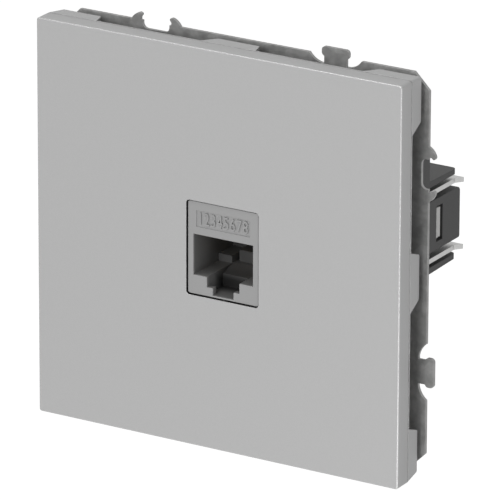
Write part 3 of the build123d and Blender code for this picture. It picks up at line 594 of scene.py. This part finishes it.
wires_low, wires_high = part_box("jack_contacts")
run_level = wires_high.z - WIRE_RADIUS
turn_front = wires_low.y + WIRE_RADIUS
turn_middle = Vector((wires_low.x + WIRE_RADIUS, turn_front + TURN_RADIUS, run_level - TURN_RADIUS))
bpy.ops.mesh.primitive_circle_add(vertices=WIRE_SIDES, radius=WIRE_RADIUS, fill_type="NGON",
                                  location=(turn_middle.x, wires_high.y, run_level),
                                  rotation=(math.pi / 2, 0, 0))
contact_wires = set_in_mesh(bpy.context.object)
contact_wires.name = "contact_wires"
bpy.ops.object.mode_set(mode="EDIT")
bpy.ops.mesh.extrude_region_move(TRANSFORM_OT_translate={"value": (0, turn_middle.y - wires_high.y, 0)})
bpy.ops.mesh.spin(steps=TURN_STEPS, angle=math.pi - WIRE_SLOPE, center=turn_middle, axis=(-1, 0, 0))
down_the_slope = Vector((0, math.cos(WIRE_SLOPE), -math.sin(WIRE_SLOPE)))
bpy.ops.mesh.extrude_region_move(TRANSFORM_OT_translate={"value": SPRING_LENGTH * down_the_slope})
bpy.ops.mesh.extrude_region_move(TRANSFORM_OT_translate={"value": WIRE_RADIUS / 2 * down_the_slope})
bpy.ops.transform.resize(value=(TIP_TAPER, TIP_TAPER, TIP_TAPER))
bpy.ops.mesh.select_all(action="SELECT")
bpy.ops.mesh.normals_make_consistent(inside=False)
bpy.ops.object.mode_set(mode="OBJECT")
use_modifier(contact_wires, "ARRAY", {"count": WIRE_COUNT, "use_relative_offset": False,
                                      "use_constant_offset": True,
                                      "constant_offset_displace": (WIRE_PITCH, 0, 0)})
bpy.ops.object.shade_smooth_by_angle(angle=WIRE_CREASE)
contact_wires.data.materials.append(plated_metal("gold_plate", GOLD, 0.24))
contact_wires.select_set(False)
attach(contact_wires, "mechanism")
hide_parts("jack_contacts")


# Contact numbers: the digits 1 to 8, one for each wire, raised in the sunk field above the opening.
# They come out of the same mould as the jack, and are of its plastic.
FIELD_SINK = 0.15 * MM
FIELD_LEVEL = 5.25 * MM
NUMBER_HEIGHT = 2.2 * MM
NUMBER_RELIEF = 0.3 * MM
NUMBER_SPACING = 1.15
NUMBERS_WIDTH = 9.4 * MM

field_middle = ((jack_low.x + jack_high.x) / 2, jack_face + FIELD_SINK, FIELD_LEVEL)
bpy.ops.object.text_add(location=field_middle, rotation=(math.pi / 2, 0, 0))
numbers = bpy.context.object
numbers.name = "contact_numbers"
numbers.data.body = "12345678"
numbers.data.align_x = "CENTER"
numbers.data.align_y = "CENTER"
numbers.data.space_character = NUMBER_SPACING
numbers.data.resolution_u = 6
bpy.ops.object.convert(target="MESH")
numbers = bpy.context.object
numbers.dimensions = (NUMBERS_WIDTH, NUMBER_HEIGHT, 0)
set_in_mesh(numbers)
use_modifier(numbers, "SOLIDIFY", {"thickness": NUMBER_RELIEF, "offset": 1})
numbers.data.materials.append(jack_plastic)
numbers.select_set(False)
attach(numbers, "mechanism")


# Cover plate: a plastic moulding sprayed with satin aluminium-grey lacquer, which snaps on last. Its
# flakes are a few hundredths of a millimetre wide, drawn coarser here, and give a soft even sheen.
COVER_GREY = "#BABABA"
# The bare plastic's grey, made near black so it also serves as painted shade in the window's gap
BARE_AND_SHADE_GREY = "#121212"
FLAKE = 0.08 * MM
FLAKE_METAL = 0.3
SPRAY_REACH = 0.02 * MM
SKIRT_WALL = 1.3 * MM
# How dark the painted shade down the skirt gets, and how far back it reaches
SKIRT_SHADE = 0.89
SKIRT_BAND = 4.0 * MM
FRONT_ROUND = 0.2 * MM
POLISH_METAL = 0.6
POLISH_GLOSS = 0.17
BARE_DULLNESS = 0.15

cover_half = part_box("cover_plate")[1].x


def satin_lacquer():
    """Aluminium-grey lacquer on a moulding: satin, partly metallic, with very fine flakes."""
    material, tree, place = start_material("satin_aluminium_lacquer")
    flake = add(tree, "ShaderNodeTexVoronoi", {"feature": "F1"},
                {"Vector": place, "Scale": 1 / FLAKE}, "Color")
    lean = add(tree, "ShaderNodeSeparateColor", {}, {"Color": flake}, "Red")
    shade = add(tree, "ShaderNodeMapRange", {}, {"Value": lean, "To Min": 0.965, "To Max": 1.035})
    depth = add(tree, "ShaderNodeSeparateXYZ", {}, {"Vector": place}, "Y")
    # Painted shade: the colour darkens down the skirt, away from the front face
    skirt_shade = add(tree, "ShaderNodeMapRange", {},
               {"Value": depth, "From Min": face_y + FRONT_ROUND, "To Min": 1,
                "From Max": face_y + SKIRT_BAND, "To Max": SKIRT_SHADE})
    flakes_and_skirt_shade = add(tree, "ShaderNodeMath", {"operation": "MULTIPLY"}, {0: shade, 1: skirt_shade})
    lacquer = add(tree, "ShaderNodeVectorMath", {"operation": "SCALE"},
                  {"Vector": linear(COVER_GREY)[:3], "Scale": flakes_and_skirt_shade})
    # The spray stops just inside the window, and leaves the back in bare dark plastic, near black, which
    # also paints the shade in the gap round the jack
    apart = add(tree, "ShaderNodeVectorMath", {"operation": "ABSOLUTE"}, {0: place})
    width = add(tree, "ShaderNodeSeparateXYZ", {}, {"Vector": apart}).node.outputs
    spread = add(tree, "ShaderNodeMath", {"operation": "MAXIMUM"}, {0: width["X"], 1: width["Z"]})
    inside = add(tree, "ShaderNodeMath", {"operation": "LESS_THAN"},
                 {0: spread, 1: cover_half - SKIRT_WALL})
    behind = add(tree, "ShaderNodeMath", {"operation": "GREATER_THAN"},
                 {0: depth, 1: face_y + SPRAY_REACH})
    bare = add(tree, "ShaderNodeMath", {"operation": "MULTIPLY"}, {0: inside, 1: behind})
    colour = add(tree, "ShaderNodeMix", {"data_type": "RGBA"},
                 {0: bare, 6: lacquer, 7: linear(BARE_AND_SHADE_GREY)})
    # Hands and packing polish the edges, where the flakes shine more than on the flats
    skin = add(tree, "ShaderNodeBevel", {"samples": EDGE_SAMPLES}, {"Radius": MOULD_EDGE})
    true_side = add(tree, "ShaderNodeNewGeometry", output="True Normal")
    along = add(tree, "ShaderNodeVectorMath", {"operation": "DOT_PRODUCT"},
                {0: skin, 1: true_side}, "Value")
    sharp = add(tree, "ShaderNodeMapRange", {}, {"Value": along, "From Min": 0.98, "From Max": 0.85})
    fore = add(tree, "ShaderNodeMath", {"operation": "LESS_THAN"}, {0: depth, 1: face_y + FRONT_ROUND})
    outer = add(tree, "ShaderNodeMath", {"operation": "GREATER_THAN"},
                {0: spread, 1: cover_half - FRONT_ROUND})
    rounded = add(tree, "ShaderNodeMath", {"operation": "MULTIPLY"}, {0: fore, 1: outer})
    edge = add(tree, "ShaderNodeMath", {"operation": "MAXIMUM"}, {0: sharp, 1: rounded})
    sprayed = add(tree, "ShaderNodeMath", {"operation": "SUBTRACT"}, {0: 1, 1: bare})
    polish = add(tree, "ShaderNodeMath", {"operation": "MULTIPLY"}, {0: edge, 1: sprayed})
    gloss = add(tree, "ShaderNodeMapRange", {}, {"Value": lean, "To Min": 0.38, "To Max": 0.48})
    dull = add(tree, "ShaderNodeMath", {"operation": "MULTIPLY_ADD"},
               {0: bare, 1: BARE_DULLNESS, 2: gloss})
    rough = add(tree, "ShaderNodeMath", {"operation": "MULTIPLY_ADD"},
                {0: polish, 1: -POLISH_GLOSS, 2: dull})
    flaky = add(tree, "ShaderNodeMapRange", {}, {"Value": bare, "To Min": FLAKE_METAL, "To Max": 0})
    metal = add(tree, "ShaderNodeMath", {"operation": "MULTIPLY_ADD"},
                {0: polish, 1: POLISH_METAL, 2: flaky})
    surface = add(tree, "ShaderNodeBsdfPrincipled", {},
                  {"Base Color": colour, "Metallic": metal, "Roughness": rough, "IOR": 1.5, "Normal": skin})
    add(tree, "ShaderNodeOutputMaterial", {}, {"Surface": surface})
    return material


dress(satin_lacquer(), "cover_plate")
